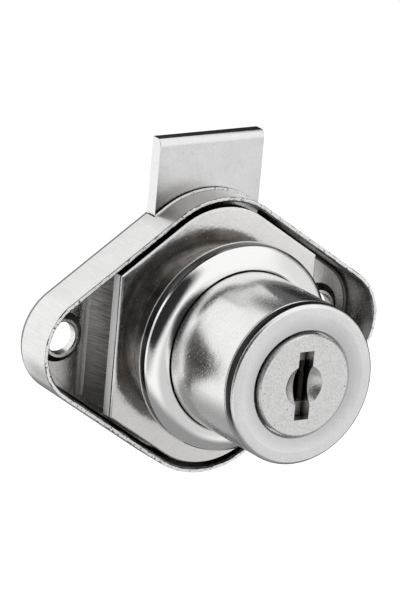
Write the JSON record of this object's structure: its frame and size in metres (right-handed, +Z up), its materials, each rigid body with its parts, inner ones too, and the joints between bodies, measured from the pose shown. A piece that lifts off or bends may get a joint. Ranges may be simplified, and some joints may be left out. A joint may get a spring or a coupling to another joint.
{
  "type": "drawer lock with sliding bolt",
  "caption": "Furniture lock with a round keyed barrel on a diamond sheet-metal case; turning the plug slides a flat bolt out of the top, and a trim ring slips along the barrel.",
  "frame": {"origin": "on the barrel axis, midway between the two screw holes, on the back face of the case", "axes": "+X along the case, -Y to the front along the barrel towards the keyway, +Z up the way the bolt is thrown"},
  "size_m": [0.0428, 0.024, 0.0372],
  "materials": {
    "case_sheet": "brushed nickel plate on drawn sheet",
    "guide_sheet": "diagonally brushed sheet",
    "plated_casting": "polished nickel plate on a zinc casting",
    "trim_chrome": "polished nickel plate",
    "bolt_steel": "tumbled satin steel",
    "plug_nickel": "satin nickel plate on a zinc casting",
    "pin_steel": "ground steel",
    "spring_steel": "hardened strip",
    "wafer_brass": "stamped brass",
    "spring_wire": "drawn wire"
  },
  "bodies": {
    "case": {"lock_case": "case_sheet", "bolt_guide": "guide_sheet", "lock_body": "plated_casting"},
    "ring": {"trim_ring": "trim_chrome"},
    "plug": {"plug": "plug_nickel", "drive_pin": "pin_steel", "retaining_clip": "spring_steel", "wafer_spring_1": "spring_wire", "wafer_spring_2": "spring_wire", "wafer_spring_3": "spring_wire", "wafer_spring_4": "spring_wire", "wafer_spring_5": "spring_wire", "wafer_spring_6": "spring_wire"},
    "bolt": {"bolt": "bolt_steel"},
    "wafer_1": {"wafer_1": "wafer_brass"},
    "wafer_2": {"wafer_2": "wafer_brass"},
    "wafer_3": {"wafer_3": "wafer_brass"},
    "wafer_4": {"wafer_4": "wafer_brass"},
    "wafer_5": {"wafer_5": "wafer_brass"},
    "wafer_6": {"wafer_6": "wafer_brass"}
  },
  "joints": [
    {"name": "plug_turn", "type": "hinge", "parent": "case", "child": "plug", "pos_m": [0, 0, 0], "axis": [0, 1, 0], "range_deg": [0, 180]},
    {"name": "bolt_slide", "type": "slide", "parent": "case", "child": "bolt", "axis": [0, 0, 1], "range_m": [-0.0055, 0]},
    {"name": "ring_slide", "type": "slide", "parent": "case", "child": "ring", "axis": [0, -1, 0], "range_m": [0, 0.0115]},
    {"name": "wafer_1_slide", "type": "slide", "parent": "plug", "child": "wafer_1", "axis": [0, 0, 1], "range_m": [0, 0.0008], "stiffness_N_per_m": 15, "springref_m": 0.002},
    {"name": "wafer_2_slide", "type": "slide", "parent": "plug", "child": "wafer_2", "axis": [0, 0, -1], "range_m": [0, 0.0008], "stiffness_N_per_m": 15, "springref_m": 0.002},
    {"name": "wafer_3_slide", "type": "slide", "parent": "plug", "child": "wafer_3", "axis": [0, 0, 1], "range_m": [0, 0.0008], "stiffness_N_per_m": 15, "springref_m": 0.002},
    {"name": "wafer_4_slide", "type": "slide", "parent": "plug", "child": "wafer_4", "axis": [0, 0, -1], "range_m": [0, 0.0008], "stiffness_N_per_m": 15, "springref_m": 0.002},
    {"name": "wafer_5_slide", "type": "slide", "parent": "plug", "child": "wafer_5", "axis": [0, 0, 1], "range_m": [0, 0.0008], "stiffness_N_per_m": 15, "springref_m": 0.002},
    {"name": "wafer_6_slide", "type": "slide", "parent": "plug", "child": "wafer_6", "axis": [0, 0, -1], "range_m": [0, 0.0008], "stiffness_N_per_m": 15, "springref_m": 0.002}
  ],
  "couplings": [
    {"joint": "plug_turn", "follows": "bolt_slide", "rad_per_m": -571.2}
  ]
}
